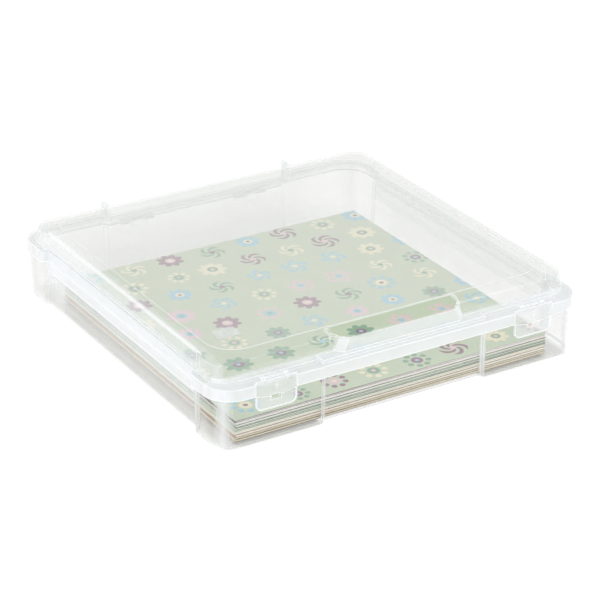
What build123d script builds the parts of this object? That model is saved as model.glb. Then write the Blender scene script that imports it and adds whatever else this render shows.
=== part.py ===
"""Latching storage case for square paper: a clear tray, a hinged lid with a hand hole, two latches
and the stack of paper inside.

Frame: the origin is the centre of the case's footprint on the surface it stands on. +X runs to the
right along the front, +Y to the hinge at the back and +Z up. All sizes are in millimetres.
"""
from build123d import *
import math
import os

os.makedirs("parts", exist_ok=True)

# The paper and the room around it
sheet_side = 304.8
sheet_thickness = 0.3
pack_thickness = 1.62
pack_count = 12
stack_shift_x = -4.7
side_room = 15.3
front_room = 0.9
rear_room = 37.1
pack_stray = 0.3
pack_turn = 0.08

# Tray
tray_height = 52.7
tray_wall = 2.0
tray_floor = 2.2
tray_draft = 1.0
tray_corner_radius = 22.0
tray_bottom_radius = 3.5
post_length = 41.0
side_recess = 6.0
front_recess = 4.6
front_recess_half = 79.6
rear_recess = 6.0
rear_recess_half = 95.5
recess_run = 3.0
outer_step_radius = 4.5
inner_step_radius = 4.8
rail_height = 8.3
rail_depth = 2.4
rail_gap = 1.0

# Lid
lid_wall = 1.8
skirt_gap = 0.5
seat_gap = 0.3
post_play = 0.9
skirt_height = 10.6
skirt_edge_radius = 1.3
crown_foot_front = 13.7
crown_foot_side = 5.7
crown_lean_front = 4.0
crown_lean_side = 1.3
crown_height = 14.5
crown_corner_radius = 16.0
crease_radius = 1.5
crown_side_recess = 3.3
crown_rear_recess = 5.3
crown_recess_slope = 15.5
roof_rise = 3.6
roof_band = 10.9
panel_corner_radius = 27.0
panel_bead = 1.3
panel_sink = 0.5

# Hand hole and handle at the front of the lid
hole_half = 61.7
hole_behind_panel = 1.3
hole_corner_radius = 3.5
handle_end_run = 10.2
handle_flare = 8.0
handle_reach = 8.9
handle_drop = 0.5
step_height = 3.0
step_depth = 4.2
end_wall_depth = 14.0
groove_width = 4.4
groove_depth = 0.8
groove_length = 74.0

# Latches
latch_centre = 125.5
latch_width = 38.0
latch_plate = 1.8
latch_drop = 13.7
latch_corner_radius = 6.0
latch_side_gap = 0.35
latch_back_gap = 0.3
latch_relief = 0.5
latch_rim = 1.0
latch_pad_sag = 2.8
latch_pin_radius = 1.1
latch_barrel_radius = 1.7
latch_post_radius = 2.2
latch_post_width = 2.6
latch_post_spacing = 21.6
latch_post_gap = 0.3
latch_axis_setback = 4.4
latch_groove_width = 1.6
latch_groove_length = 6.0
latch_groove_depth = 0.4
latch_slot_width = 9.2
latch_slot_height = 4.4
catch_drop = 4.0
catch_margin = 0.5
catch_proud = 0.35

# Hinge
hinge_drop = 1.0
knuckle_radius = 2.8
hinge_pin_radius = 1.4
hinge_station = 60.0
tray_knuckle_width = 14.0
lid_knuckle_width = 9.0
knuckle_gap = 0.4
pin_clearance = 0.08
snap_slit = 2.2
fin_thickness = 2.0
fin_reach = 15.0
fin_rise = 0.7
fin_slope = 1.6

# Places worked out from the sizes above
tray_half_x = sheet_side / 2 + side_room + tray_wall + side_recess
tray_half_y = (sheet_side + front_room + rear_room + front_recess + rear_recess) / 2 + tray_wall
stack_y = -tray_half_y + front_recess + tray_wall + front_room + sheet_side / 2
skirt_outset = tray_draft + skirt_gap + lid_wall
skirt_half_x = tray_half_x + skirt_outset
skirt_half_y = tray_half_y + skirt_outset
under_z = tray_height + seat_gap
ledge_z = under_z + lid_wall
skirt_z = ledge_z - skirt_height
crease_z = ledge_z + crown_height
panel_z = crease_z + roof_rise
crown_foot_x = skirt_half_x - crown_foot_side
crown_foot_y = skirt_half_y - crown_foot_front
crease_x = crown_foot_x - crown_lean_side
crease_y = crown_foot_y - crown_lean_front
panel_x = crease_x - roof_band
panel_y = crease_y - roof_band
handle_y = crease_y + handle_reach
handle_z = crease_z - handle_drop
handle_half_top = hole_half - handle_end_run
handle_half_foot = handle_half_top + handle_flare
hole_rear_y = panel_y - hole_behind_panel
step_y = handle_y + step_depth
step_z = ledge_z + step_height
latch_axis_y = skirt_half_y - latch_axis_setback
latch_axis_z = ledge_z + latch_post_radius
latch_back_y = skirt_half_y - latch_plate
latch_bottom_z = skirt_z - latch_drop
catch_z = skirt_z - catch_drop
hinge_y = skirt_half_y - knuckle_radius
hinge_z = skirt_z - hinge_drop
reach_out = 60.0
corner_match = 0.05
handle_mitre = math.tan(math.radians(45) / 2)


def tray_outset(z):
    """How far the tray's drafted outer face stands outside its footprint at a height."""
    return tray_draft * z / tray_height


def step_radius(radius, depth):
    """A recess corner's radius, limited so that both corners fit on the slope between them."""
    slope = math.hypot(recess_run, depth)
    turn = math.atan2(depth, recess_run)
    return min(radius, 0.48 * slope / math.tan(turn / 2))


def stepped_plan(z, outset, front_depth, play=0.0):
    """A face at height z: the tray's footprint with its recesses, grown by an outset.

    The play shortens the side recesses, so that the lid swings clear of the posts behind them.
    """
    x, y = tray_half_x, tray_half_y
    post_y = y - post_length - play
    side_x = x - side_recess
    rear_y = y - rear_recess
    right = [
        (x, -y),
        (x, -post_y),
        (side_x, -post_y + recess_run),
        (side_x, post_y - recess_run),
        (x, post_y),
        (x, y),
        (rear_recess_half, y),
        (rear_recess_half - recess_run, rear_y),
    ]
    outer = [(x, -post_y), (x, post_y), (rear_recess_half, y)]
    inner = [
        (side_x, -post_y + recess_run),
        (side_x, post_y - recess_run),
        (rear_recess_half - recess_run, rear_y),
    ]
    if front_depth > 0:
        front = [(front_recess_half - recess_run, -y + front_depth), (front_recess_half, -y)]
        right = front + right
        inner.append(front[0])
        outer.append(front[1])
    left = [(-px, py) for px, py in reversed(right)]
    with BuildSketch(Plane.XY.offset(z)) as plan:
        with BuildLine():
            Polyline(*right, *left, close=True)
        make_face()
        fillet(corners_at(plan, [(x, -y), (x, y)]), tray_corner_radius)
        for point in outer:
            fillet(corners_at(plan, [point]), step_radius(outer_step_radius, depth_at(point, front_depth)))
        for point in inner:
            fillet(corners_at(plan, [point]), step_radius(inner_step_radius, depth_at(point, front_depth)))
        if outset != 0:
            offset(amount=outset, kind=Kind.ARC)
    return plan.sketch


def depth_at(point, front_depth):
    """The depth of the recess that a corner belongs to."""
    if abs(point[1]) < tray_half_y - post_length / 2:
        return side_recess
    return rear_recess if point[1] > 0 else front_depth


def corners_at(plan, points):
    """The corners of a sketch at the given points and at their mirror images."""
    places = points + [(-px, py) for px, py in points]
    found = []
    for corner in plan.vertices():
        if any(math.dist((corner.X, corner.Y), place) < corner_match for place in places):
            found.append(corner)
    return found


def rounded_plan(z, half_x, half_y, radius):
    """A rounded rectangle face at height z."""
    with BuildSketch(Plane.XY.offset(z)) as plan:
        RectangleRounded(2 * half_x, 2 * half_y, radius)
    return plan.sketch


def outline(plane, points):
    """A face on a plane from its corner points."""
    with BuildSketch(plane) as shape:
        with BuildLine():
            Polyline(*points, close=True)
        make_face()
    return shape.sketch


def crown_side_cut(z, inset):
    """The face of the strip that the crown's right-hand recess takes away."""
    inner_x = crown_foot_x - crown_side_recess - inset
    near = tray_half_y - post_length - post_play + inset
    far = near + recess_run
    with BuildSketch(Plane.XY.offset(z)) as strip:
        with BuildLine():
            Polyline(
                (inner_x, recess_run - near),
                (crown_foot_x, -near),
                (crown_foot_x + reach_out, -far),
                (crown_foot_x + reach_out, far),
                (crown_foot_x, near),
                (inner_x, near - recess_run),
                close=True,
            )
        make_face()
        inner = [v for v in strip.vertices() if abs(v.X - inner_x) < corner_match]
        fillet(inner, inner_step_radius - lid_wall)
    return strip.sketch


def crown_rear_cut(z, inset):
    """The face of the strip that the crown's rear recess takes away."""
    near = rear_recess_half + inset
    far = rear_recess_half - crown_recess_slope
    right = [
        (far, crease_y - crown_rear_recess - inset),
        (near, crease_y - inset),
        (near, crease_y + reach_out),
    ]
    left = [(-px, py) for px, py in reversed(right)]
    return outline(Plane.XY.offset(z), right + left)


def crown_shape(inset):
    """The lid's raised middle as a solid, drawn in by an inset for the hollow inside it."""
    foot_z = under_z - inset
    side_cut = crown_side_cut(foot_z, inset)
    with BuildPart() as crown:
        crease = rounded_plan(
            crease_z - inset, crease_x - inset, crease_y - inset, crown_corner_radius - inset
        )
        foot = rounded_plan(foot_z, crown_foot_x - inset, crown_foot_y - inset, crown_corner_radius - inset)
        loft([foot, crease], ruled=True)
        loft([crease, rounded_plan(panel_z - inset, panel_x, panel_y, panel_corner_radius)], ruled=True)
        ring = [e for e in crown.edges() if abs(e.bounding_box().size.Z) < 0.01]
        ring = [e for e in ring if abs(e.center().Z - crease_z + inset) < 0.01]
        fillet(ring, crease_radius)
        extrude(side_cut, amount=reach_out, mode=Mode.SUBTRACT)
        extrude(mirror(side_cut, about=Plane.YZ, mode=Mode.PRIVATE), amount=reach_out, mode=Mode.SUBTRACT)
        extrude(crown_rear_cut(foot_z, inset), amount=reach_out, mode=Mode.SUBTRACT)
    return crown.part


def handle_plan(z, half_front, inset, back_y):
    """The plan of the handle at height z: a straight front with ends at 45 degrees."""
    front_y = handle_y - inset
    front_x = half_front - inset * handle_mitre
    back_x = front_x + front_y - back_y
    points = [(-back_x, -back_y), (-front_x, -front_y), (front_x, -front_y), (back_x, -back_y)]
    return outline(Plane.XY.offset(z), points)


def hole_plan(z):
    """The hand hole in the lid's roof, as a face at height z."""
    front_y = handle_y - lid_wall
    front_x = handle_half_top - lid_wall * handle_mitre
    turn_y = front_y - (hole_half - front_x)
    with BuildSketch(Plane.XY.offset(z)) as hole:
        with BuildLine():
            Polyline(
                (-hole_half, -hole_rear_y),
                (-hole_half, -turn_y),
                (-front_x, -front_y),
                (front_x, -front_y),
                (hole_half, -turn_y),
                (hole_half, -hole_rear_y),
                close=True,
            )
        make_face()
        radius = min(hole_corner_radius, 0.9 * (turn_y - hole_rear_y))
        fillet(corners_at(hole, [(hole_half, -hole_rear_y)]), radius)
    return hole.sketch


def cylinder_x(y, z, radius, x_from, x_to):
    """A round bar along X between two places."""
    with BuildPart() as bar:
        with BuildSketch(Plane.YZ.offset(x_from)):
            with Locations((y, z)):
                Circle(radius)
        extrude(amount=x_to - x_from)
    return bar.part


def block(x_from, x_to, y_from, y_to, z_from, z_to):
    """A plain block between two opposite corners."""
    with BuildPart() as box:
        with BuildSketch(Plane.XY.offset(z_from)):
            with Locations(((x_from + x_to) / 2, (y_from + y_to) / 2)):
                Rectangle(x_to - x_from, y_to - y_from)
        extrude(amount=z_to - z_from)
    return box.part


def profile_x(points, x_from, x_to):
    """A prism along X from its profile in Y and Z."""
    with BuildPart() as prism:
        extrude(outline(Plane.YZ.offset(x_from), points), amount=x_to - x_from)
    return prism.part


def side_rails():
    """The grip rail in the tray's right-hand recess."""
    top_z = skirt_z - rail_gap
    wall_x = tray_half_x - side_recess
    half = tray_half_y - post_length
    return block(wall_x - tray_wall / 2, wall_x + rail_depth, -half, half, top_z - rail_height, top_z)


def tray_knuckle(x):
    """A snap-in hinge knuckle with its arm, behind the tray's recessed back wall."""
    wall_y = tray_half_y - rear_recess
    half = tray_knuckle_width / 2
    with BuildPart() as knuckle:
        add(cylinder_x(hinge_y, hinge_z, knuckle_radius, x - half, x + half))
        arm = [
            (wall_y - tray_wall / 2, hinge_z - 2 * knuckle_radius),
            (hinge_y, hinge_z - knuckle_radius),
            (hinge_y, hinge_z),
            (wall_y - tray_wall / 2, hinge_z),
        ]
        add(profile_x(arm, x - half, x + half))
        add(
            cylinder_x(hinge_y, hinge_z, hinge_pin_radius + pin_clearance, x - half, x + half),
            mode=Mode.SUBTRACT,
        )
        slit_from, slit_to = hinge_y - snap_slit / 2, hinge_y + snap_slit / 2
        add(block(x - half, x + half, slit_from, slit_to, hinge_z, hinge_z + reach_out), mode=Mode.SUBTRACT)
    return knuckle.part


def lid_knuckles(x):
    """The lid's pair of hinge knuckles at one station, with the pin between them."""
    wall_y = skirt_half_y - rear_recess
    near = tray_knuckle_width / 2 + knuckle_gap
    far = near + lid_knuckle_width
    with BuildPart() as pair:
        add(cylinder_x(hinge_y, hinge_z, hinge_pin_radius, x - far, x + far))
        for side in (-1, 1):
            x_from, x_to = sorted((x + side * near, x + side * far))
            add(cylinder_x(hinge_y, hinge_z, knuckle_radius, x_from, x_to))
            arm = [
                (wall_y - lid_wall / 2, hinge_z + hinge_drop),
                (hinge_y, hinge_z),
                (hinge_y, hinge_z + knuckle_radius),
                (wall_y - lid_wall / 2, hinge_z + 2 * knuckle_radius),
            ]
            add(profile_x(arm, x_from, x_to))
    return pair.part


def catch_lug(x):
    """The low lug on the tray's front post that lies in the latch's window."""
    half = latch_slot_width / 2 - catch_margin
    rise = latch_slot_height / 2 - catch_margin
    face_y = tray_half_y + tray_outset(catch_z + rise) + catch_proud
    return block(x - half, x + half, -face_y, -face_y + tray_wall, catch_z - rise, catch_z + rise)


def fin(x):
    """The upright fin on the lid's rear ledge, beside the hinge recess."""
    rear_y = crease_y + fin_reach
    top_z = crease_z + fin_rise
    points = [
        (crease_y - lid_wall, under_z),
        (rear_y, under_z),
        (rear_y, top_z - fin_slope),
        (crease_y, top_z),
        (crease_y - lid_wall, crease_z - lid_wall),
    ]
    return profile_x(points, x - fin_thickness / 2, x + fin_thickness / 2)


def end_wall(x_from, x_to):
    """The short wall that hangs below the lid's roof at one end of the hand hole."""
    front_y = handle_y - lid_wall - (hole_half - handle_half_top)
    foot_z = crease_z - end_wall_depth
    points = [
        (-hole_rear_y, foot_z),
        (-hole_rear_y, panel_z - lid_wall / 2),
        (-panel_y, panel_z - lid_wall / 2),
        (-front_y, crease_z - lid_wall / 2),
        (-front_y, foot_z),
    ]
    return profile_x(points, x_from, x_to)


def latch_posts(x):
    """The two posts on the lid's ledge that hold a latch's pins."""
    with BuildPart() as posts:
        for side in (-1, 1):
            middle = x + side * latch_post_spacing / 2
            x_from, x_to = middle - latch_post_width / 2, middle + latch_post_width / 2
            add(cylinder_x(-latch_axis_y, latch_axis_z, latch_post_radius, x_from, x_to))
            front_y, back_y = latch_axis_y + latch_post_radius, latch_axis_y - latch_post_radius
            add(block(x_from, x_to, -front_y, -back_y, under_z, latch_axis_z))
            bore = latch_pin_radius + pin_clearance
            add(cylinder_x(-latch_axis_y, latch_axis_z, bore, x_from, x_to), mode=Mode.SUBTRACT)
    return posts.part


def latch_room(x):
    """The notch that a latch's plate hangs in, cut through the lid's front edge."""
    half = latch_width / 2 + latch_side_gap
    back_y = latch_back_y - latch_back_gap
    return block(x - half, x + half, -skirt_half_y - reach_out, -back_y, 0, ledge_z + reach_out)


def make_latch(x):
    """A latch: a hinged plate with a thick top, a rimmed lower part and a window for the catch."""
    half = latch_width / 2
    front = Plane.XZ.offset(skirt_half_y)
    hinge_half = latch_post_spacing / 2 - latch_post_width / 2 - latch_post_gap
    pin_half = latch_post_spacing / 2 + latch_post_width / 2
    with BuildPart() as latch:
        with BuildSketch(front) as plate:
            with Locations((x, (latch_bottom_z + latch_axis_z) / 2)):
                Rectangle(latch_width, latch_axis_z - latch_bottom_z)
            fillet(plate.vertices().group_by(Axis.Y)[0], latch_corner_radius)
        extrude(amount=-latch_plate)
        with BuildSketch(front) as hollow:
            with BuildLine():
                left, right = x - half + latch_rim, x + half - latch_rim
                low = latch_bottom_z + latch_rim
                ThreePointArc((left, skirt_z), (x, skirt_z - latch_pad_sag), (right, skirt_z))
                Polyline((right, skirt_z), (right, low), (left, low), (left, skirt_z))
            make_face()
            fillet(hollow.vertices().group_by(Axis.Y)[0], latch_corner_radius - latch_rim)
        extrude(amount=-latch_relief, mode=Mode.SUBTRACT)
        with BuildSketch(front):
            with Locations((x, catch_z)):
                Rectangle(latch_slot_width, latch_slot_height)
        extrude(amount=-latch_plate, mode=Mode.SUBTRACT)
        with BuildSketch(front):
            with Locations((x, skirt_z + latch_groove_length)):
                SlotOverall(latch_groove_length, latch_groove_width, rotation=90)
        extrude(amount=-latch_groove_depth, mode=Mode.SUBTRACT)
        add(cylinder_x(-latch_axis_y, latch_axis_z, latch_pin_radius, x - pin_half, x + pin_half))
        add(cylinder_x(-latch_axis_y, latch_axis_z, latch_barrel_radius, x - hinge_half, x + hinge_half))
        web_z = latch_axis_z - latch_barrel_radius
        add(block(x - hinge_half, x + hinge_half, -skirt_half_y, -latch_axis_y, web_z, latch_axis_z))
    return latch.part


# The tray
with BuildPart() as base_tray:
    loft([stepped_plan(0, 0, front_recess), stepped_plan(tray_height, tray_draft, front_recess)], ruled=True)
    fillet(base_tray.edges().group_by(Axis.Z)[0], tray_bottom_radius)
    rail = side_rails()
    add([rail, mirror(rail, about=Plane.YZ, mode=Mode.PRIVATE)])
    for side in (-1, 1):
        add(catch_lug(side * latch_centre))
    hollow_foot = stepped_plan(tray_floor, tray_outset(tray_floor) - tray_wall, front_recess)
    hollow_top = stepped_plan(tray_height, tray_draft - tray_wall, front_recess)
    loft([hollow_foot, hollow_top], ruled=True, mode=Mode.SUBTRACT)
    for side in (-1, 1):
        add(tray_knuckle(side * hinge_station))
base_tray.part.label = "base_tray"
export_step(base_tray.part, "parts/base_tray.step")

# The lid
with BuildPart() as lid:
    extrude(stepped_plan(skirt_z, skirt_outset, 0, post_play), amount=skirt_height)
    fillet(lid.edges().group_by(Axis.Z)[-1], skirt_edge_radius)
    add(crown_shape(0))
    crown_front = crown_foot_y - crown_lean_front - lid_wall
    add(block(-front_recess_half, front_recess_half, -step_y, -crown_front, under_z, step_z))
    foot = handle_plan(under_z, handle_half_foot, 0, crown_front)
    loft([foot, handle_plan(handle_z, handle_half_top, 0, crown_front)], ruled=True)
    for side in (-1, 1):
        add(fin(side * rear_recess_half))

    under_ledge = stepped_plan(skirt_z, tray_draft + skirt_gap, 0, post_play)
    extrude(under_ledge, amount=skirt_height - lid_wall, mode=Mode.SUBTRACT)
    add(crown_shape(lid_wall), mode=Mode.SUBTRACT)
    step_inside = front_recess_half - lid_wall
    step_front = lid_wall - step_y
    under_step = block(-step_inside, step_inside, step_front, -crown_front, under_z, step_z - lid_wall)
    add(under_step, mode=Mode.SUBTRACT)
    foot = handle_plan(under_z, handle_half_foot, lid_wall, hole_rear_y)
    top = handle_plan(handle_z, handle_half_top, lid_wall, hole_rear_y)
    sunk_x, sunk_y, sunk_radius = (size - panel_bead for size in (panel_x, panel_y, panel_corner_radius))
    sunk_panel = rounded_plan(panel_z - panel_sink, sunk_x, sunk_y, sunk_radius)
    extrude(sunk_panel, amount=reach_out, mode=Mode.SUBTRACT)
    for side in (-1, 1):
        x_from, x_to = sorted((side * hole_half, side * (hole_half + lid_wall)))
        add(end_wall(x_from, x_to))
    loft([foot, top], ruled=True, mode=Mode.SUBTRACT)
    extrude(hole_plan(crease_z - crown_height / 2), amount=reach_out, mode=Mode.SUBTRACT)
    for side in (-1, 1):
        add(latch_room(side * latch_centre), mode=Mode.SUBTRACT)
        groove_x = side * (front_recess_half + groove_length / 2 + lid_wall)
        groove_z = ledge_z - groove_depth
        x_from, x_to = groove_x - groove_length / 2, groove_x + groove_length / 2
        groove = block(x_from, x_to, -crown_foot_y - groove_width, -crown_foot_y, groove_z, ledge_z)
        add(groove, mode=Mode.SUBTRACT)
    for side in (-1, 1):
        add(latch_posts(side * latch_centre))
        add(lid_knuckles(side * hinge_station))
lid.part.label = "lid"
export_step(lid.part, "parts/lid.step")

# The latches
for name, side in (("latch_left", -1), ("latch_right", 1)):
    latch = make_latch(side * latch_centre)
    latch.label = name
    export_step(latch, f"parts/{name}.step")

# The paper
for number in range(pack_count):
    turn = math.radians(pack_turn * math.sin(1.7 * number))
    shift_x = stack_shift_x + pack_stray * math.sin(2.4 * number)
    shift_y = stack_y + pack_stray * math.sin(1.3 * number + 0.5)
    level = tray_floor + number * pack_thickness
    base = Plane((shift_x, shift_y, level), x_dir=(math.cos(turn), math.sin(turn), 0), z_dir=(0, 0, 1))
    with BuildPart() as pack:
        with BuildSketch(base):
            Rectangle(sheet_side, sheet_side)
        extrude(amount=pack_thickness)
    name = f"paper_pack_{number + 1:02d}"
    pack.part.label = name
    export_step(pack.part, f"parts/{name}.step")

with BuildPart() as top_sheet:
    with BuildSketch(Plane.XY.offset(tray_floor + pack_count * pack_thickness)):
        with Locations((stack_shift_x, stack_y)):
            Rectangle(sheet_side, sheet_side)
    extrude(amount=sheet_thickness)
top_sheet.part.label = "top_sheet"
export_step(top_sheet.part, "parts/top_sheet.step")
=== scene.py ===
"""Dresses the storage case: clear plastic, layered paper with a printed top sheet, and the studio."""

import math
import random

import bmesh
import bpy
from mathutils import Matrix, Vector


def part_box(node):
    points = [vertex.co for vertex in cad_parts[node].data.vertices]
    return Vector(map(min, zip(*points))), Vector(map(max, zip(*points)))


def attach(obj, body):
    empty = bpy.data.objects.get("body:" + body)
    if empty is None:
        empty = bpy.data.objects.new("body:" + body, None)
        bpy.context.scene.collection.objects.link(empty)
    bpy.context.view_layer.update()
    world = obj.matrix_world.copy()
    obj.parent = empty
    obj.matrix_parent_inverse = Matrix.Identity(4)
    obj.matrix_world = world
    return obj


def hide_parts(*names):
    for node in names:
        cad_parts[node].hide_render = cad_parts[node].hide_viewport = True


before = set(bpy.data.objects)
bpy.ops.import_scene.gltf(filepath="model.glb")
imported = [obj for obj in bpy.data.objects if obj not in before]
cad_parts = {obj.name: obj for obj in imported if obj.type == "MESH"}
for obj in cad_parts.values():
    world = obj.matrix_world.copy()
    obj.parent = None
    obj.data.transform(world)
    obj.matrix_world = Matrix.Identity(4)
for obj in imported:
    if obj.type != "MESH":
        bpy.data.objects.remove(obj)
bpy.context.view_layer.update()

MM = 0.001
seeded = random.Random(12)

# The camera, fitted to the photograph
CAMERA_AZIMUTH = math.radians(-31.444)
CAMERA_ELEVATION = math.radians(25.635)
CAMERA_ROLL = math.radians(0.272)
CAMERA_TARGET = Vector((-18.13, -40.83, 40.0)) * MM
CAMERA_DISTANCE = 2013.2 * MM
CAMERA_LENS = 140.7
SENSOR_WIDTH = 36.0

# The clear plastic's colours
PLASTIC_TINT = (0.991, 0.992, 0.990)
HAZE_COLOUR = (0.83, 0.84, 0.83)
MILK_COLOUR = (0.90, 0.92, 0.94)
# The near-white below is painted highlight, given to the plastic's edges and bright lines
EDGE_HIGHLIGHT_COLOUR = (0.99, 1.0, 1.0)
WHITE = (1.0, 1.0, 1.0)

# How much a surface hides seen straight on, and how much more where it bends
TRAY_HAZE = 0.045
LID_HAZE = 0.092
LATCH_HAZE = 0.32
# The bent faces turn milkier and whiter: partly slanted plastic, partly painted highlight
TRAY_BENT_TIMES = 14.0
LID_BENT_TIMES = 1.3
BENT_GAIN = 4.6
BENT_START = 0.25
REAR_BENT_Y = 110.0 * MM
REAR_BENT_SHARE = 0.15
LEAST_STRAIGHT = 0.16
MOST_HIDDEN = 0.76
GRAZING_POWER = 6.0
GRAZING_HIDES = 0.85
THROUGH_SHARE = 0.2
LIGHT_PASSES = 0.5
MOTTLE_LEAST = 0.75
MOTTLE_RANGE = 0.5
MOTTLE_NOISE = (22.0, 3.0)

# Gloss, and the painted highlights along the plastic's edges, partly the thicker plastic seen edge-on
GLOSS_ROUGHNESS = 0.07
SHEEN_POWER = 5.0
SHEEN_GAIN = 0.9
SHEEN_LEAST = 0.035
EDGE_WIDTH = 1.2 * MM
EDGE_SAMPLES = 6
EDGE_GAIN = 11.0
EDGE_START = 0.12
EDGE_HIDES = 0.95

# Soft steps between places
CRISP = 0.5 * MM
SOFT = 2.0 * MM
FADE = 20.0 * MM
LINE_SOFT = 0.4 * MM

# Painted light: the walls at the back and the right, seen through the roof, are made clearer, so the
# milk there, which lies in shade from inside, shows less
REAR_SKIRT_Y = 150.0 * MM
RIGHT_SKIRT_X = 155.0 * MM
RIGHT_SKIRT_Y = -135.0 * MM
RIGHT_SOFT = 10.0 * MM
WALL_SOFT = 1.0 * MM
SHADED_WALLS_CLEARER = 0.6

# The milkier places of the tray; the right grip side takes only a share of the milk, so the left reads
# lighter: painted light from the left
SIDE_TIMES = 3.4
RAIL_TIMES = 12.0
RAIL_Z = 30.5 * MM
RAIL_SOFT = 1.5 * MM
SIDE_FACE_X = 166.0 * MM
SIDE_FACE_Y = 136.5 * MM
SIDE_CLEAR_Z = 14.0 * MM
LESS_LIT_RIGHT_SHARE = 0.25

# The milkier places of the lid; the crown is milkier on the left side only, painted light from the
# left
FROSTED_TIMES = 8.0
SKIRT_TIMES = 4.0
FROSTED_TOP_Z = 58.2 * MM
FRONT_SKIRT_Y = -158.0 * MM
FRONT_SOFT = 4.0 * MM
HANDLE_FRONT_Y = -166.5 * MM
HANDLE_TOP_Z = 68.0 * MM
LIT_LEFT_CROWN_TIMES = 2.0
CROWN_FACE_X = 163.0 * MM
FIN_TIMES = 5.0
FIN_Y = 169.5 * MM
FIN_Z = 55.6 * MM

# Painted highlight lines along the lid's crease, hem and rim
SKIRT_HALF_X = 179.0 * MM
SKIRT_HALF_Y = 182.0 * MM
SKIRT_Z = 44.2 * MM
LEDGE_Z = 54.8 * MM
CREASE_X = 168.7 * MM
CREASE_Z = 69.3 * MM
CREASE_HALF_Y = 137.0 * MM
CREASE_LINE = 1.6 * MM
CREASE_SOFT = 1.2 * MM
CREASE_SHARE = 0.8
HEM_LINE = 0.9 * MM
HEM_SHARE = 0.75
RIM_LINE = 1.1 * MM
RIM_SHARE = 0.7

# The frosted patch on the lid's roof
PATCH_X = (-146.5 * MM, -125.5 * MM)
PATCH_Y = (-128.0 * MM, -112.0 * MM)
PATCH_Z = 72.38 * MM
PATCH_RISE = 0.22 * MM
PATCH_CORNER = 2.2 * MM
PATCH_CORNER_STEPS = 8
PATCH_BEVEL = 0.15 * MM
PATCH_GRAIN = (900.0, 3.0)
PATCH_BUMP = (0.5, 0.1 * MM)
PATCH_MOTTLE = (260.0, 2.0)
PATCH_HIDES = 0.18
PATCH_HIDES_RANGE = 0.22
PATCH_ROUGHNESS = 0.35
PATCH_SHEEN_GAIN = 0.5
PATCH_SHEEN_LEAST = 0.03

# The paper
SHEET_SIDE = 304.8 * MM
SHEET_TRIM = 0.1 * MM
SHEETS_PER_PACK = 4
SHEET_GAP = 0.05 * MM
SHEET_STRAY = 0.55 * MM
SHEET_TURN = 0.0016
STRAY_X = (-1.6, 1.6)
STRAY_Y = (-0.4, 0.7)
EDGE_WAVE = 0.16 * MM
WAVE_RATE = 5.1
WAVE_SHIFT = 2.2
EDGE_STEPS = 18
PAPER_SHADE = 0.80
FIBRE_NOISE = (420.0, 4.0)
FIBRE_SHARE = 0.6
CLOUD_NOISE = (60.0, 2.0)
CLOUD_SHARE = 0.5
PAPER_BUMP = (0.12, 0.05 * MM)
PAPER_ROUGHNESS = 0.82
PAPER_SPECULAR = 0.2
# The darkest papers, ink, forest and brown, are dark sheets and also painted shade: they stand in for
# the shadowed gaps between packs
PAPERS = {
    "ink": (0.07, 0.05, 0.06),
    "forest": (0.10, 0.17, 0.08),
    "brown": (0.20, 0.12, 0.08),
    "white": (0.97, 0.96, 0.93),
    "cream": (0.95, 0.91, 0.80),
    "green": (0.58, 0.74, 0.54),
    "rust": (0.68, 0.52, 0.35),
    "olive": (0.78, 0.78, 0.52),
    "rose": (0.90, 0.76, 0.76),
}
PACK_PAPERS = (
    ("brown", "rust", "cream", "olive"),
    ("cream", "brown", "white", "white"),
    ("rust", "olive", "brown", "rust"),
    ("cream", "white", "white", "rust"),
    ("brown", "olive", "cream", "cream"),
    ("white", "white", "rust", "forest"),
    ("green", "green", "ink", "white"),
    ("white", "white", "forest", "green"),
    ("green", "ink", "white", "white"),
    ("olive", "forest", "ink", "white"),
    ("white", "white", "rose", "ink"),
    ("rose", "white", "ink", "green"),
)

# The print on the top sheet, with lengths in millimetres and parts as shares of a motif's radius
PRINT_GROUND = (0.64, 0.72, 0.56)
GROUND_SHADE = 0.93
GROUND_NOISE = (60.0, 4.0)
PRINT_INKS = (
    (0.38, 0.64, 0.78),
    (0.36, 0.22, 0.28),
    (0.90, 0.84, 0.64),
    (0.84, 0.62, 0.68),
    (0.30, 0.46, 0.34),
)
COLUMN_PITCH = 40.0
ROW_PITCH = 34.4
ROW_SHIFT = 0.13
PRINT_JITTER = 0.16
PRINT_EDGE = 0.5
MOTIF_RADIUS = 10.6
MOTIF_SPREAD = 2.8
MOTIF_TURN = 6.0
BEADED_BELOW = 0.66
ROSETTE_BELOW = 0.36
PETAL_WAVES = 4.0
PETAL_DEPTH = 0.34
PETAL_LEAST = 0.68
ROSETTE_HEART = 0.38
HEART_DOT = 0.16
BEADS = 8.0
BEAD_RING = 0.78
BEAD_SIZE = 0.21
BEAD_HEART = 0.42
BLADES = 5.0
BLADE_TWIST = 0.75
BLADE_SHARPNESS = 2.0
BLADE_HEART = 0.24
INK_RANGE = 0.99
INNER_INK = 0.4
CORE_INK = 0.2
PICK_SOFT = 0.001
PRINT_NOISE = (500.0, 3.0)
PRINT_BUMP = (0.1, 0.04 * MM)
PRINT_ROUGHNESS = 0.7
PRINT_SPECULAR = 0.3

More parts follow.
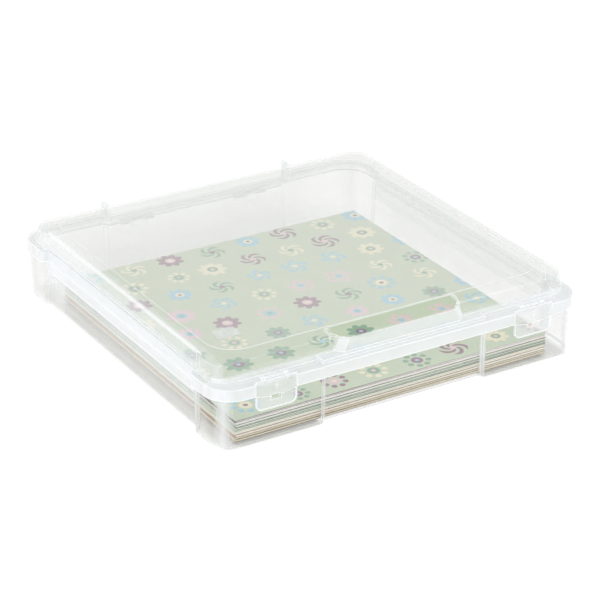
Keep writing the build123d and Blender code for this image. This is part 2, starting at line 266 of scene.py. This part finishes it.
# The floor, with a painted shadow under the case that fades out behind it
FLOOR_HALF = 6.0
FLOOR_Z = -0.2 * MM
FLOOR_COLOUR = (0.9, 0.9, 0.9)
PAINTED_SHADOW_COLOUR = (0.88, 0.88, 0.86)
FLOOR_WHITE = 1.08
OPEN_SHARE = 0.90
PAINTED_SHADOW_LESS_WHITE = 0.73
FOOT_HALF_X = 168.5 * MM
FOOT_FRONT_Y = -164.0 * MM
FOOT_CORNER_X = 80.0 * MM
FOOT_CORNER_Y = -176.5 * MM
FOOT_REAR_Y = 177.0 * MM
FOOT_SOFT = 6.0 * MM
CORNER_SOFT = 4.0 * MM
SHADE_HALF_X = 145.0 * MM
SHADE_REAR_Y = 245.0 * MM
SHADE_FADE_X = 90.0 * MM
SHADE_FADE_Y = 120.0 * MM

# The white background, the rays that see it, and the light that it gives the rest
SEEN_RAYS = ("Is Camera Ray", "Is Glossy Ray", "Is Transmission Ray")
WORLD_LIGHT = 0.78

# The lamps: name, place, width, height, power in watts, and whether gloss mirrors them
LAMP_TARGET = (0, 0, 0.03)
LAMPS = (
    ("key", (1.3, -1.2, 1.3), 0.9, 0.9, 6.0, True),
    ("rim", (-1.4, 1.0, 1.3), 1.0, 0.8, 6.0, True),
    ("fill", (-1.6, -0.9, 0.5), 1.8, 0.8, 10.0, False),
    ("front", (0.5, -1.9, 0.5), 1.8, 0.8, 5.5, False),
)


class Value:
    """A number from a node, so that sums read as plain arithmetic."""

    def __init__(self, graph, socket):
        self.graph = graph
        self.socket = socket

    def apply(self, operation, other=0.0, clamp=False):
        return self.graph.maths(operation, self, other, clamp)

    def __add__(self, other):
        return self.apply("ADD", other)

    def __sub__(self, other):
        return self.apply("SUBTRACT", other)

    def __rsub__(self, other):
        return self.graph.maths("SUBTRACT", other, self)

    def __mul__(self, other):
        return self.apply("MULTIPLY", other)

    def __truediv__(self, other):
        return self.apply("DIVIDE", other)

    def __pow__(self, other):
        return self.apply("POWER", other)

    def __abs__(self):
        return self.apply("ABSOLUTE")

    def fraction(self):
        return self.apply("FRACT")

    def below(self, edge, soft):
        """1 where the value is under the edge, 0 above it, with a soft step."""
        return ((edge - self) / soft).apply("ADD", 0.5, clamp=True)

    def above(self, edge, soft):
        """0 where the value is under the edge, 1 above it, with a soft step."""
        return 1.0 - self.below(edge, soft)


def largest(first, *others):
    """The largest of some values."""
    for other in others:
        first = first.apply("MAXIMUM", other)
    return first


class Graph:
    """A material's node tree, with short calls for the nodes used here."""

    def __init__(self, name):
        self.material = bpy.data.materials.new(name)
        self.material.use_nodes = True
        self.tree = self.material.node_tree
        self.tree.nodes.clear()
        self.output = self.tree.nodes.new("ShaderNodeOutputMaterial")

    def node(self, kind, **settings):
        made = self.tree.nodes.new(kind)
        for name, value in settings.items():
            setattr(made, name, value)
        return made

    def put(self, value, socket):
        """Links a socket, or sets a plain value."""
        if isinstance(value, Value):
            value = value.socket
        if isinstance(value, bpy.types.NodeSocket):
            self.tree.links.new(value, socket)
            return
        if isinstance(value, tuple) and len(value) == 3 and socket.type == "RGBA":
            value = (*value, 1.0)
        socket.default_value = value

    def maths(self, operation, first, second=0.0, clamp=False):
        made = self.node("ShaderNodeMath", operation=operation, use_clamp=clamp)
        self.put(first, made.inputs[0])
        self.put(second, made.inputs[1])
        return Value(self, made.outputs[0])

    def mix(self, factor, first, second):
        made = self.node("ShaderNodeMix", data_type="RGBA")
        self.put(factor, made.inputs["Factor"])
        self.put(first, made.inputs[6])
        self.put(second, made.inputs[7])
        return made.outputs[2]

    def noise(self, vector, scale, detail):
        """A soft random number for each place, from a scale per metre and a level of detail."""
        made = self.node("ShaderNodeTexNoise")
        self.put(vector, made.inputs["Vector"])
        made.inputs["Scale"].default_value = scale
        made.inputs["Detail"].default_value = detail
        return Value(self, made.outputs["Fac"])

    def bump(self, height, strength, distance):
        """A normal that follows a fine relief of a given strength and depth."""
        made = self.node("ShaderNodeBump")
        made.inputs["Strength"].default_value = strength
        made.inputs["Distance"].default_value = distance
        self.put(height, made.inputs["Height"])
        return made.outputs[0]

    def shader(self, kind, **values):
        """A shader with its sockets set, a space in a socket's name written as an underscore."""
        made = self.node(kind)
        for name, value in values.items():
            self.put(value, made.inputs[name.replace("_", " ")])
        return made.outputs[0]

    def mix_shaders(self, factor, first, second):
        made = self.node("ShaderNodeMixShader")
        self.put(factor, made.inputs[0])
        self.put(first, made.inputs[1])
        self.put(second, made.inputs[2])
        return made.outputs[0]

    def apart(self, vector):
        """The three numbers of a vector."""
        made = self.node("ShaderNodeSeparateXYZ")
        self.put(vector, made.inputs[0])
        return [Value(self, made.outputs[k]) for k in range(3)]

    def place(self):
        """The object's own coordinates, in metres."""
        return self.node("ShaderNodeTexCoord").outputs["Object"]

    def facing(self):
        """0 where a surface is seen straight on, 1 at a grazing angle."""
        return Value(self, self.node("ShaderNodeLayerWeight").outputs["Facing"])

    def light_path(self, name):
        return Value(self, self.node("ShaderNodeLightPath").outputs[name])

    def finish(self, surface):
        self.put(surface, self.output.inputs["Surface"])
        return self.material


def set_camera():
    azimuth, elevation = CAMERA_AZIMUTH, CAMERA_ELEVATION
    back = Vector((
        math.sin(azimuth) * math.cos(elevation),
        -math.cos(azimuth) * math.cos(elevation),
        math.sin(elevation),
    ))
    right = (-back).cross(Vector((0, 0, 1))).normalized()
    up = right.cross(-back)
    turned_right = right * math.cos(CAMERA_ROLL) + up * math.sin(CAMERA_ROLL)
    turned_up = up * math.cos(CAMERA_ROLL) - right * math.sin(CAMERA_ROLL)
    camera = bpy.data.objects.new("camera", bpy.data.cameras.new("camera"))
    camera.data.lens = CAMERA_LENS
    camera.data.sensor_width = SENSOR_WIDTH
    camera.data.clip_start = 0.05
    camera.data.clip_end = 50
    turn = Matrix((turned_right, turned_up, back)).transposed().to_4x4()
    camera.matrix_world = Matrix.Translation(CAMERA_TARGET + back * CAMERA_DISTANCE) @ turn
    bpy.context.collection.objects.link(camera)
    bpy.context.scene.camera = camera


def edge_highlight_mask(graph):
    """1 along the sharp edges of the plastic, where a rounded normal leaves the true one: where the
    edges are painted near-white as highlights.
    """
    geometry = graph.node("ShaderNodeNewGeometry")
    bevel = graph.node("ShaderNodeBevel", samples=EDGE_SAMPLES)
    bevel.inputs["Radius"].default_value = EDGE_WIDTH
    agree = graph.node("ShaderNodeVectorMath", operation="DOT_PRODUCT")
    graph.put(geometry.outputs["Normal"], agree.inputs[0])
    graph.put(bevel.outputs[0], agree.inputs[1])
    bend = 1.0 - Value(graph, agree.outputs["Value"])
    return (bend * EDGE_GAIN).apply("SUBTRACT", EDGE_START, clamp=True)


def bent_and_highlight_mask(graph, y):
    """1 on curved and sloping faces, less so at the back. These are made milkier and whiter, partly
    for the plastic seen at a slant there and partly as painted highlight.
    """
    normal = graph.node("ShaderNodeTexCoord").outputs["Normal"]
    across, along, upward = (abs(size) for size in graph.apart(normal))
    slope = (1.0 - largest(across, along, upward)) * BENT_GAIN
    slope = slope.apply("SUBTRACT", BENT_START, clamp=True)
    return slope * (y.below(REAR_BENT_Y, FADE) * (1.0 - REAR_BENT_SHARE) + REAR_BENT_SHARE)


def tray_places(x, y, height):
    """The tray's grip sides: how many times hazier they are, and how milky, the left side more than
    the right as painted light from the left; no painted highlight lines.
    """
    # Painted light: the right grip side gets only a share of the left side's milk
    face = x.above(SIDE_FACE_X, CRISP) * LESS_LIT_RIGHT_SHARE + x.below(-SIDE_FACE_X, CRISP)
    face = face * abs(y).below(SIDE_FACE_Y, SOFT)
    high = height.above(SIDE_CLEAR_Z, SIDE_CLEAR_Z)
    rail = height.above(RAIL_Z, RAIL_SOFT)
    times = face * (high * (SIDE_TIMES - 1.0) + rail * (RAIL_TIMES - SIDE_TIMES)) + 1.0
    return times, face, 0.0


def lid_places(x, y, height):
    """The lid's skirt, step, handle, crown and fins, with the crown's left side milkier as painted
    light, and the painted highlight lines on crease, hem and rim.
    """
    low = height.below(FROSTED_TOP_Z, CRISP) * y.below(REAR_SKIRT_Y, FADE)
    handle = y.below(HANDLE_FRONT_Y, SOFT) * height.below(HANDLE_TOP_Z, CRISP)
    front = largest(low * y.below(FRONT_SKIRT_Y, FRONT_SOFT), handle)
    # Painted light: only the crown's left side is made milkier
    crown = x.below(-CROWN_FACE_X, SOFT) * (1.0 - low)
    fins = y.above(FIN_Y, CRISP) * height.above(FIN_Z, CRISP)
    times = low * (SKIRT_TIMES - 1.0) + front * (FROSTED_TIMES - SKIRT_TIMES) + 1.0
    times = times * (crown * (LIT_LEFT_CROWN_TIMES - 1.0) + fins * (FIN_TIMES - 1.0) + 1.0)

    across, along = abs(x), abs(y)
    # Painted highlight lines: crease, hem and rim are turned near-white like the edges
    off = largest(abs(across - CREASE_X), abs(height - CREASE_Z))
    crease = off.below(CREASE_LINE, CREASE_SOFT) * along.below(CREASE_HALF_Y, WALL_SOFT)
    hem = height.below(SKIRT_Z + HEM_LINE, LINE_SOFT)
    inner = across.below(SKIRT_HALF_X - RIM_LINE, LINE_SOFT)
    outer = 1.0 - inner * along.below(SKIRT_HALF_Y - RIM_LINE, LINE_SOFT)
    rim = outer * abs(height - LEDGE_Z).below(RIM_LINE, LINE_SOFT)
    highlight_lines = largest(crease * CREASE_SHARE, hem * HEM_SHARE, rim * RIM_SHARE)
    return times, largest(low, front, crown, fins), highlight_lines


def clear_plastic(name, haze, bent_times, places=None):
    """Moulded clear plastic: see-through, a little milky, glossy, with painted highlights along its
    edges and curves, partly the thicker plastic seen there.

    The places give the milkier parts, some of them painted light, and the painted highlight lines.
    Without them it is milky all over.
    """
    graph = Graph(name)
    where = graph.place()
    x, y, height = graph.apart(where)
    # Painted highlight: the edge mask turns sharp edges near-white and nearly opaque
    edge = edge_highlight_mask(graph)
    bent_and_highlight = bent_and_highlight_mask(graph, y)
    facing = graph.facing()
    mottle = graph.noise(where, *MOTTLE_NOISE) * MOTTLE_RANGE + MOTTLE_LEAST
    thick = mottle * haze * (bent_and_highlight * bent_times + 1.0) / ((1.0 - facing) + LEAST_STRAIGHT)
    # Painted light: the back and right walls are made clearer so their shaded milk shows less
    right = x.above(RIGHT_SKIRT_X, RIGHT_SOFT) * y.above(RIGHT_SKIRT_Y, FADE)
    shade_hidden_walls = largest(y.above(REAR_SKIRT_Y, FADE), right)
    shade_hidden_walls = shade_hidden_walls * height.above(SKIRT_Z, WALL_SOFT) * height.below(LEDGE_Z, WALL_SOFT)
    thick = thick * (1.0 - shade_hidden_walls * SHADED_WALLS_CLEARER)
    milky = 1.0
    if places:
        times, milky, highlight_lines = places(x, y, height)
        thick = thick * times
        milky = largest(milky, bent_and_highlight)
        edge = largest(edge, highlight_lines)
    hides = 1.0 - graph.maths("EXPONENT", thick * -1.0)
    hides = largest(hides, (facing ** GRAZING_POWER) * GRAZING_HIDES)
    hides = hides.apply("MINIMUM", MOST_HIDDEN)
    hides = largest(hides, edge * EDGE_HIDES)
    colour = graph.mix(edge, graph.mix(milky, HAZE_COLOUR, MILK_COLOUR), EDGE_HIGHLIGHT_COLOUR)
    soft = graph.shader("ShaderNodeBsdfDiffuse", Color=colour)
    through = graph.shader("ShaderNodeBsdfTranslucent", Color=colour)
    milk = graph.mix_shaders(THROUGH_SHARE, soft, through)
    clear = graph.shader("ShaderNodeBsdfTransparent", Color=PLASTIC_TINT)
    body = graph.mix_shaders(hides, clear, milk)
    gloss = graph.shader("ShaderNodeBsdfGlossy", Color=WHITE, Roughness=GLOSS_ROUGHNESS)
    sheen = (facing ** SHEEN_POWER) * SHEEN_GAIN + SHEEN_LEAST
    seen = graph.mix_shaders(sheen, body, gloss)
    open_to_light = graph.shader("ShaderNodeBsdfTransparent", Color=WHITE)
    shadow = graph.light_path("Is Shadow Ray")
    return graph.finish(graph.mix_shaders(shadow * LIGHT_PASSES, seen, open_to_light))


def frosted_plastic():
    """The patch on the lid: the same clear plastic with a fine frosted grain."""
    graph = Graph("frosted_plastic")
    where = graph.place()
    normal = graph.bump(graph.noise(where, *PATCH_GRAIN), *PATCH_BUMP)
    hides = graph.noise(where, *PATCH_MOTTLE) * PATCH_HIDES_RANGE + PATCH_HIDES
    soft = graph.shader("ShaderNodeBsdfDiffuse", Color=MILK_COLOUR, Normal=normal)
    clear = graph.shader("ShaderNodeBsdfTransparent", Color=PLASTIC_TINT)
    gloss = graph.shader("ShaderNodeBsdfGlossy", Roughness=PATCH_ROUGHNESS, Normal=normal)
    body = graph.mix_shaders(hides, clear, soft)
    sheen = (graph.facing() ** SHEEN_POWER) * PATCH_SHEEN_GAIN + PATCH_SHEEN_LEAST
    return graph.finish(graph.mix_shaders(sheen, body, gloss))


def matt_paper(graph, colour, relief, roughness, specular):
    """The shader that both papers end in."""
    return graph.finish(graph.shader(
        "ShaderNodeBsdfPrincipled",
        Base_Color=colour,
        Normal=relief,
        Roughness=roughness,
        Specular_IOR_Level=specular,
    ))


def paper(name, colour):
    """Matt paper with a faint fibre mottle."""
    graph = Graph(name)
    where = graph.place()
    darker = tuple(PAPER_SHADE * c for c in colour)
    clouds = graph.noise(where, *CLOUD_NOISE) * CLOUD_SHARE
    fibre = graph.noise(where, *FIBRE_NOISE) * FIBRE_SHARE + clouds
    relief = graph.bump(fibre, *PAPER_BUMP)
    mottled = graph.mix(fibre, darker, colour)
    return matt_paper(graph, mottled, relief, PAPER_ROUGHNESS, PAPER_SPECULAR)


def ink(graph, number):
    """One of the print's inks, picked by a random number from 0 to 1."""
    ramp = graph.node("ShaderNodeValToRGB")
    ramp.color_ramp.interpolation = "CONSTANT"
    steps = ramp.color_ramp.elements
    while len(steps) < len(PRINT_INKS):
        steps.new(0.5)
    for k, colour in enumerate(PRINT_INKS):
        steps[k].position = k / len(PRINT_INKS)
        steps[k].color = (*colour, 1.0)
    graph.put(number, ramp.inputs[0])
    return ramp.outputs[0]


def printed_paper():
    """Pale green paper with a scattered print of small rosettes, dotted rings and pinwheels."""
    graph = Graph("printed_paper")
    where = graph.place()
    across, along, _ = graph.apart(where)
    across, along = across / (COLUMN_PITCH * MM), along / (ROW_PITCH * MM)
    row = along.apply("FLOOR")
    across = across + (row * 0.5).fraction() + row * ROW_SHIFT
    column = across.apply("FLOOR")

    cell = graph.node("ShaderNodeCombineXYZ")
    graph.put(column, cell.inputs[0])
    graph.put(row, cell.inputs[1])
    dice = graph.node("ShaderNodeTexWhiteNoise", noise_dimensions="2D")
    graph.put(cell.outputs[0], dice.inputs["Vector"])
    split = graph.node("ShaderNodeSeparateColor")
    graph.put(dice.outputs["Color"], split.inputs[0])
    red, green, blue = (Value(graph, split.outputs[k]) for k in range(3))

    x = (across - column - 0.5 + (red - 0.5) * PRINT_JITTER) * COLUMN_PITCH
    y = (along - row - 0.5 + (green - 0.5) * PRINT_JITTER) * ROW_PITCH
    radius = (x * x + y * y) ** 0.5
    angle = graph.maths("ARCTAN2", y, x) + blue * MOTIF_TURN
    size = Value(graph, dice.outputs["Value"]) * MOTIF_SPREAD + MOTIF_RADIUS

    petals = size * (abs(graph.maths("COSINE", angle * PETAL_WAVES)) * PETAL_DEPTH + PETAL_LEAST)
    rosette = radius.below(petals, PRINT_EDGE)
    rosette_heart = radius.below(size * ROSETTE_HEART, PRINT_EDGE)
    heart_dot = radius.below(size * HEART_DOT, PRINT_EDGE)

    turn = (angle * (BEADS / math.tau)).fraction() - 0.5
    bead_x = turn * (math.tau / BEADS) * (size * BEAD_RING)
    bead_y = radius - size * BEAD_RING
    beads = ((bead_x * bead_x + bead_y * bead_y) ** 0.5).below(size * BEAD_SIZE, PRINT_EDGE)
    bead_heart = radius.below(size * BEAD_HEART, PRINT_EDGE)

    swirl = graph.maths("SINE", angle * BLADES + radius * BLADE_TWIST)
    blades = (swirl * BLADE_SHARPNESS).apply("ADD", 0.5, clamp=True) * radius.below(size, PRINT_EDGE)
    blade_heart = radius.below(size * BLADE_HEART, PRINT_EDGE)

    outer = ink(graph, green)
    inner = ink(graph, (green * INK_RANGE + INNER_INK).fraction())
    core = ink(graph, (green * INK_RANGE + CORE_INK).fraction())
    mottle = graph.noise(where, *GROUND_NOISE)
    ground = graph.mix(mottle, tuple(GROUND_SHADE * c for c in PRINT_GROUND), PRINT_GROUND)
    rosettes = graph.mix(rosette_heart, graph.mix(rosette, ground, outer), inner)
    rosettes = graph.mix(heart_dot, rosettes, core)
    rings = graph.mix(heart_dot, graph.mix(bead_heart, graph.mix(beads, ground, outer), inner), core)
    wheels = graph.mix(blade_heart, graph.mix(blades, ground, outer), inner)
    round_ones = graph.mix(blue.below(ROSETTE_BELOW, PICK_SOFT), rings, rosettes)
    drawn = graph.mix(blue.below(BEADED_BELOW, PICK_SOFT), wheels, round_ones)
    relief = graph.bump(graph.noise(where, *PRINT_NOISE), *PRINT_BUMP)
    return matt_paper(graph, drawn, relief, PRINT_ROUGHNESS, PRINT_SPECULAR)


def floor_material():
    """Bright floor that keeps the case's shadow, with a painted shadow under and behind the case: a
    darker colour and less white there.
    """
    graph = Graph("floor")
    white = graph.shader("ShaderNodeEmission", Color=WHITE, Strength=FLOOR_WHITE)
    x, y, _ = graph.apart(graph.place())
    across = abs(x)
    # Painted shadow: the case's footprint and a soft patch behind it are darker and less white; under
    # marks it
    corners = across.above(FOOT_CORNER_X, CORNER_SOFT) * y.above(FOOT_CORNER_Y, CORNER_SOFT)
    behind_front = largest(y.above(FOOT_FRONT_Y, FOOT_SOFT), corners)
    foot_shadow = across.below(FOOT_HALF_X, FOOT_SOFT) * y.below(FOOT_REAR_Y, FOOT_SOFT) * behind_front
    shade = across.below(SHADE_HALF_X, SHADE_FADE_X) * y.below(SHADE_REAR_Y, SHADE_FADE_Y)
    under = largest(foot_shadow, shade * y.above(REAR_SKIRT_Y, FADE))
    seen = largest(*(graph.light_path(name) for name in SEEN_RAYS))
    diffuse = graph.shader("ShaderNodeBsdfDiffuse", Color=graph.mix(under, FLOOR_COLOUR, PAINTED_SHADOW_COLOUR))
    return graph.finish(graph.mix_shaders(seen * (OPEN_SHARE - under * PAINTED_SHADOW_LESS_WHITE), diffuse, white))


def set_world():
    """White for the rays that see the background, and a plain level of light for the rest."""
    world = bpy.data.worlds.new("studio")
    world.use_nodes = True
    tree = world.node_tree
    background = tree.nodes["Background"]
    background.inputs["Color"].default_value = (*WHITE, 1.0)
    path = tree.nodes.new("ShaderNodeLightPath")
    seen = path.outputs[SEEN_RAYS[0]]
    for name in SEEN_RAYS[1:]:
        either = tree.nodes.new("ShaderNodeMath")
        either.operation = "MAXIMUM"
        tree.links.new(seen, either.inputs[0])
        tree.links.new(path.outputs[name], either.inputs[1])
        seen = either.outputs[0]
    strength = tree.nodes.new("ShaderNodeMapRange")
    tree.links.new(seen, strength.inputs["Value"])
    strength.inputs["To Min"].default_value = WORLD_LIGHT
    strength.inputs["To Max"].default_value = 1.0
    tree.links.new(strength.outputs["Result"], background.inputs["Strength"])
    bpy.context.scene.world = world


def add_floor():
    mesh = bpy.data.meshes.new("floor")
    half = FLOOR_HALF
    corners = [(-half, -half, 0), (half, -half, 0), (half, half, 0), (-half, half, 0)]
    mesh.from_pydata(corners, [], [(0, 1, 2, 3)])
    floor = bpy.data.objects.new("floor", mesh)
    floor.location.z = FLOOR_Z
    mesh.materials.append(floor_material())
    bpy.context.collection.objects.link(floor)


def add_lamp(name, place, width, height, power, mirrored):
    light = bpy.data.lights.new(name, "AREA")
    light.shape = "RECTANGLE"
    light.size, light.size_y = width, height
    light.energy = power
    lamp = bpy.data.objects.new(name, light)
    lamp.location = place
    lamp.visible_glossy = mirrored
    lamp.rotation_euler = (Vector(LAMP_TARGET) - Vector(place)).to_track_quat("-Z", "Y").to_euler()
    bpy.context.collection.objects.link(lamp)


def dress(node, material):
    """Puts one material on every slot of a CAD node."""
    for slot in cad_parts[node].material_slots:
        slot.material = material


def add_slab(mesh, rim, bottom, top):
    """A flat slab over a rim of points: its underside, its top, then its sides."""
    low = [mesh.verts.new((x, y, bottom)) for x, y in rim]
    high = [mesh.verts.new((x, y, top)) for x, y in rim]
    faces = [mesh.faces.new(reversed(low)), mesh.faces.new(high)]
    for k in range(len(rim)):
        after = (k + 1) % len(rim)
        faces.append(mesh.faces.new((low[k], low[after], high[after], high[k])))
    return faces


def add_object(name, mesh, materials):
    """An object in the scene from a finished bmesh and its materials."""
    data = bpy.data.meshes.new(name)
    mesh.to_mesh(data)
    mesh.free()
    for material in materials:
        data.materials.append(material)
    made = bpy.data.objects.new(name, data)
    bpy.context.collection.objects.link(made)
    return made


def add_patch():
    """A thin plate with rounded corners on the lid's roof."""
    rim = []
    for k, (cx, cy) in enumerate(((0, 0), (1, 0), (1, 1), (0, 1))):
        middle_x = PATCH_X[cx] + (PATCH_CORNER if cx == 0 else -PATCH_CORNER)
        middle_y = PATCH_Y[cy] + (PATCH_CORNER if cy == 0 else -PATCH_CORNER)
        for step in range(PATCH_CORNER_STEPS + 1):
            angle = math.pi + (k + step / PATCH_CORNER_STEPS) * math.pi / 2
            rim.append((
                middle_x + PATCH_CORNER * math.cos(angle),
                middle_y + PATCH_CORNER * math.sin(angle),
            ))
    mesh = bmesh.new()
    top = add_slab(mesh, rim, PATCH_Z, PATCH_Z + PATCH_RISE)[1]
    bmesh.ops.bevel(mesh, geom=list(top.edges), offset=PATCH_BEVEL, segments=2, affect="EDGES")
    patch = add_object("lid_patch", mesh, [frosted_plastic()])
    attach(patch, "lid")


def sheet_rim(centre, half, turn, phase):
    """The outline of one sheet, whose cut edges wander a little."""
    rim = []
    corners = [(-1, -1), (1, -1), (1, 1), (-1, 1)]
    outward = [(0, -1), (1, 0), (0, 1), (-1, 0)]
    for k, (cx, cy) in enumerate(corners):
        nx, ny = corners[(k + 1) % 4]
        for step in range(EDGE_STEPS):
            t = step / EDGE_STEPS
            wave = EDGE_WAVE * math.sin(WAVE_RATE * t + phase + WAVE_SHIFT * k) * math.sin(math.pi * t)
            x = half * (cx + (nx - cx) * t) + outward[k][0] * wave
            y = half * (cy + (ny - cy) * t) + outward[k][1] * wave
            rim.append((
                centre[0] + x * math.cos(turn) - y * math.sin(turn),
                centre[1] + x * math.sin(turn) + y * math.cos(turn),
            ))
    return rim


def add_pack(number, papers):
    """A pack of loose sheets in place of the CAD's plain slab."""
    node = f"paper_pack_{number + 1:02d}"
    low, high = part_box(node)
    centre = ((low[0] + high[0]) / 2, (low[1] + high[1]) / 2)
    thickness = (high[2] - low[2]) / SHEETS_PER_PACK
    mesh = bmesh.new()
    for k in range(SHEETS_PER_PACK):
        stray = (
            centre[0] + seeded.uniform(*STRAY_X) * SHEET_STRAY,
            centre[1] + seeded.uniform(*STRAY_Y) * SHEET_STRAY,
        )
        turn = seeded.uniform(-1, 1) * SHEET_TURN
        rim = sheet_rim(stray, SHEET_SIDE / 2 - SHEET_TRIM, turn, seeded.uniform(0, 6))
        level = low[2] + k * thickness
        for face in add_slab(mesh, rim, level, level + (thickness - SHEET_GAP)):
            face.material_index = k
    pack = add_object(f"{node}_sheets", mesh, [papers[name] for name in PACK_PAPERS[number]])
    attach(pack, "base")
    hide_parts(node)


set_camera()
set_world()
add_floor()
for lamp in LAMPS:
    add_lamp(*lamp)
dress("base_tray", clear_plastic("tray_plastic", TRAY_HAZE, TRAY_BENT_TIMES, tray_places))
dress("lid", clear_plastic("lid_plastic", LID_HAZE, LID_BENT_TIMES, lid_places))
for node in ("latch_left", "latch_right"):
    dress(node, clear_plastic(f"{node}_plastic", LATCH_HAZE, LID_BENT_TIMES))
add_patch()
papers = {name: paper(f"paper_{name}", colour) for name, colour in PAPERS.items()}
for number in range(len(PACK_PAPERS)):
    add_pack(number, papers)
dress("top_sheet", printed_paper())

bpy.context.scene.cycles.transparent_max_bounces = 32
bpy.context.scene.view_settings.view_transform = "Standard"
